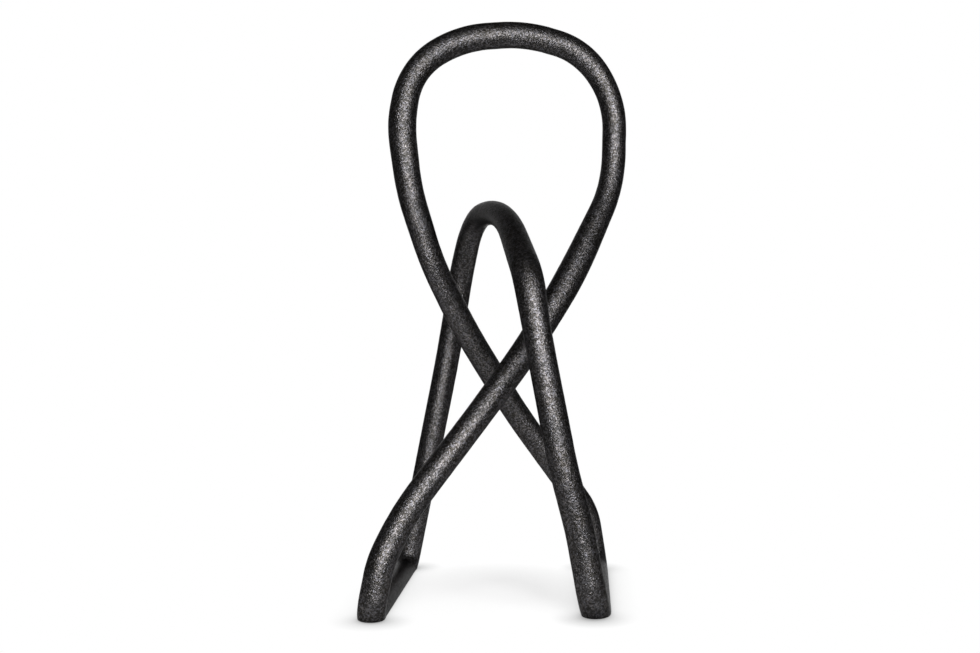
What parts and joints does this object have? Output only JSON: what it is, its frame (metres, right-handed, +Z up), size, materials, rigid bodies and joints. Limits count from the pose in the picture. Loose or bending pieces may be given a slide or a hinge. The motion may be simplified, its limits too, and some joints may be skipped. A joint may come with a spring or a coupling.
{
  "type": "knot sculpture",
  "caption": "Free-standing abstract knot: one endless round metal tube looped and crossed over itself, standing on two floor runs sliced flat.",
  "frame": {"origin": "on the floor, below the middle of the sculpture's bounding box", "axes": "+X to the right and +Y to the back as the picture shows it, +Z up"},
  "size_m": [0.2767, 0.3106, 0.6056],
  "materials": {
    "textured_metal": "dark grey granular metallic coat, semi-gloss",
    "bare_steel": "turned, hidden inside the tube",
    "sole_steel": "dark grey coat, worn satin where it stands"
  },
  "bodies": {
    "root": {"crown_bend": "textured_metal", "front_strand": "textured_metal", "left_foot_bend": "textured_metal", "arch_rear_leg": "textured_metal", "arch_bend": "textured_metal", "arch_front_leg": "textured_metal", "right_foot_bend": "textured_metal", "rear_strand": "textured_metal", "crown_front_sleeve": "bare_steel", "front_strand_foot_sleeve": "bare_steel", "left_foot_rear_sleeve": "bare_steel", "arch_rear_sleeve": "bare_steel", "arch_front_sleeve": "bare_steel", "right_foot_front_sleeve": "bare_steel", "rear_strand_foot_sleeve": "bare_steel", "crown_rear_sleeve": "bare_steel", "left_sole_plate": "sole_steel", "right_sole_plate": "sole_steel"}
  },
  "joints": []
}
